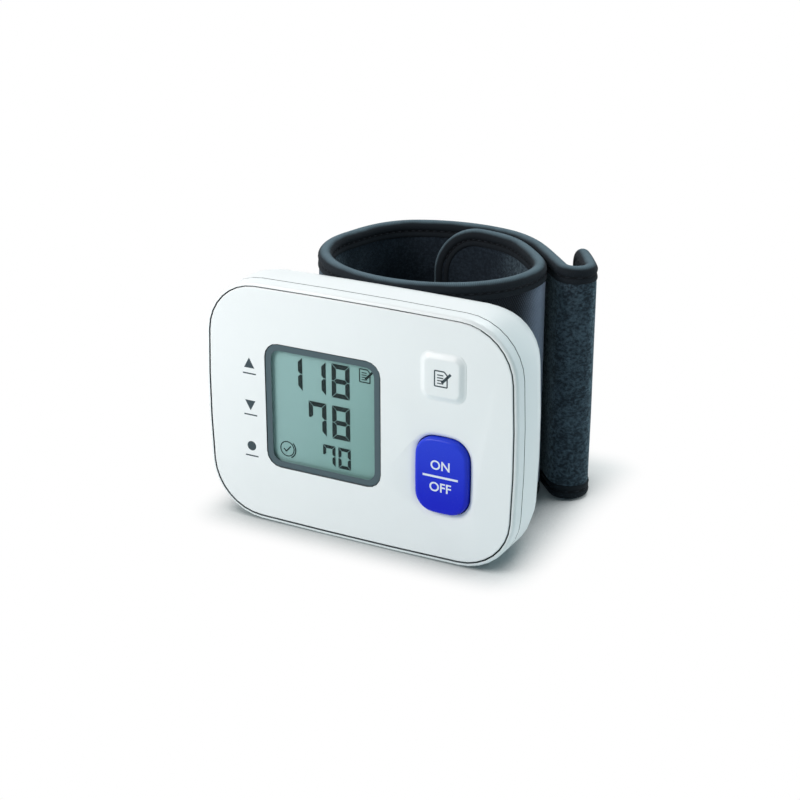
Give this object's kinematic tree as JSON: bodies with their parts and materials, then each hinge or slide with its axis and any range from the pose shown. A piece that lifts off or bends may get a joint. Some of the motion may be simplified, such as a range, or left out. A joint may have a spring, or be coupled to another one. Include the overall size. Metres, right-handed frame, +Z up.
{
  "type": "wrist blood pressure monitor",
  "caption": "White wrist blood pressure monitor with a display, two push buttons and a dark cloth cuff closed into a loop behind its case.",
  "frame": {"origin": "on the floor, at the middle of the ground that the standing monitor covers", "axes": "+X to the right of the display, +Y from the display back through the cuff, +Z up"},
  "size_m": [0.0864, 0.0734, 0.0643],
  "materials": {
    "case_white": "satin moulded plastic",
    "steel": "plated",
    "clear_window": "clear moulded window",
    "window_grey": "printed dark border",
    "display": "grey-green liquid crystal display",
    "dark_plastic": "moulded",
    "pale_plastic": "moulded",
    "elastomer": "striped elastomer",
    "button_blue": "satin moulded plastic",
    "board_green": "solder mask",
    "cell": "wrapped cell",
    "red_rubber": "moulded rubber",
    "black_rubber": "moulded rubber",
    "coil_copper": "wound wire",
    "hose": "soft tube",
    "cuff_cloth": "dark looped cloth",
    "binding": "dark edge tape"
  },
  "bodies": {
    "housing": {"front_plate": "case_white", "front_case": "case_white", "rear_case": "case_white", "case_screw_right_top": "steel", "case_screw_right_bottom": "steel", "case_screw_left_top": "steel", "case_screw_left_bottom": "steel", "window_lens": "clear_window", "window_frame": "window_grey", "display_glass": "display", "display_holder": "dark_plastic", "connector_strip_top": "elastomer", "connector_strip_bottom": "elastomer", "start_switch": "dark_plastic", "memory_switch": "dark_plastic", "main_board": "board_green", "board_screw_top": "steel", "board_screw_bottom": "steel", "controller_chip": "dark_plastic", "pressure_sensor": "pale_plastic", "battery_front": "cell", "battery_rear": "cell", "battery_link_contact": "steel", "battery_minus_contact": "steel", "battery_plus_contact": "steel", "motor_end_bell": "dark_plastic", "motor_can": "steel", "pump_housing": "dark_plastic", "diaphragm_block": "red_rubber", "pump_cover": "dark_plastic", "valve_frame": "steel", "valve_coil": "coil_copper", "valve_spring": "steel", "air_manifold": "pale_plastic", "air_port": "dark_plastic", "port_seal": "black_rubber", "pump_hose": "hose", "sensor_hose": "hose", "valve_hose": "hose", "cuff_rivet_top": "pale_plastic", "cuff_rivet_bottom": "pale_plastic", "cuff_curler": "pale_plastic", "cuff_bladder": "black_rubber", "cuff_cover": "cuff_cloth", "cuff_lining": "cuff_cloth", "binding_loop_top": "binding", "binding_loop_bottom": "binding"},
    "start_button": {"start_stop_button": "button_blue", "start_switch_plunger": "pale_plastic"},
    "recall_button": {"memory_button": "case_white", "memory_switch_plunger": "pale_plastic"},
    "cell_cover": {"battery_cover": "case_white"},
    "strap_end": {"cuff_outer_end": "cuff_cloth", "binding_outer_end": "binding", "cuff_hook_patch": "cuff_cloth"},
    "strap_inner_end": {"cuff_inner_end": "cuff_cloth", "binding_inner_end": "binding"},
    "motor_rotor": {"motor_shaft": "steel", "eccentric": "pale_plastic"},
    "valve_core": {"valve_plunger": "steel"}
  },
  "joints": [
    {"name": "start_press", "type": "slide", "parent": "housing", "child": "start_button", "axis": [0, 1, 0], "range_m": [0, 0.0008], "stiffness_N_per_m": 800, "springref_m": -0.001},
    {"name": "recall_press", "type": "slide", "parent": "housing", "child": "recall_button", "axis": [0, 1, 0], "range_m": [0, 0.0006], "stiffness_N_per_m": 800, "springref_m": -0.001},
    {"name": "cover_off", "type": "slide", "parent": "housing", "child": "cell_cover", "axis": [-1, 0, 0], "range_m": [0, 0.025]},
    {"name": "strap_peel", "type": "hinge", "parent": "housing", "child": "strap_end", "pos_m": [-0.0313, 0.00661, 0.032], "axis": [0, 0, 1], "range_deg": [0, 60]},
    {"name": "inner_end_flex", "type": "hinge", "parent": "housing", "child": "strap_inner_end", "pos_m": [0.0293, 0.00294, 0.032], "axis": [0, 0, 1], "range_deg": [-15, 0]},
    {"name": "motor_spin", "type": "hinge", "parent": "housing", "child": "motor_rotor", "pos_m": [0.0295, -0.01884, 0.03], "axis": [0, 0, 1], "continuous": true},
    {"name": "valve_stroke", "type": "slide", "parent": "housing", "child": "valve_core", "axis": [0, 0, -1], "range_m": [0, 0.0006], "stiffness_N_per_m": 60, "springref_m": -0.001}
  ],
  "couplings": [
    {"joint": "inner_end_flex", "follows": "strap_peel", "ratio": -0.25}
  ]
}
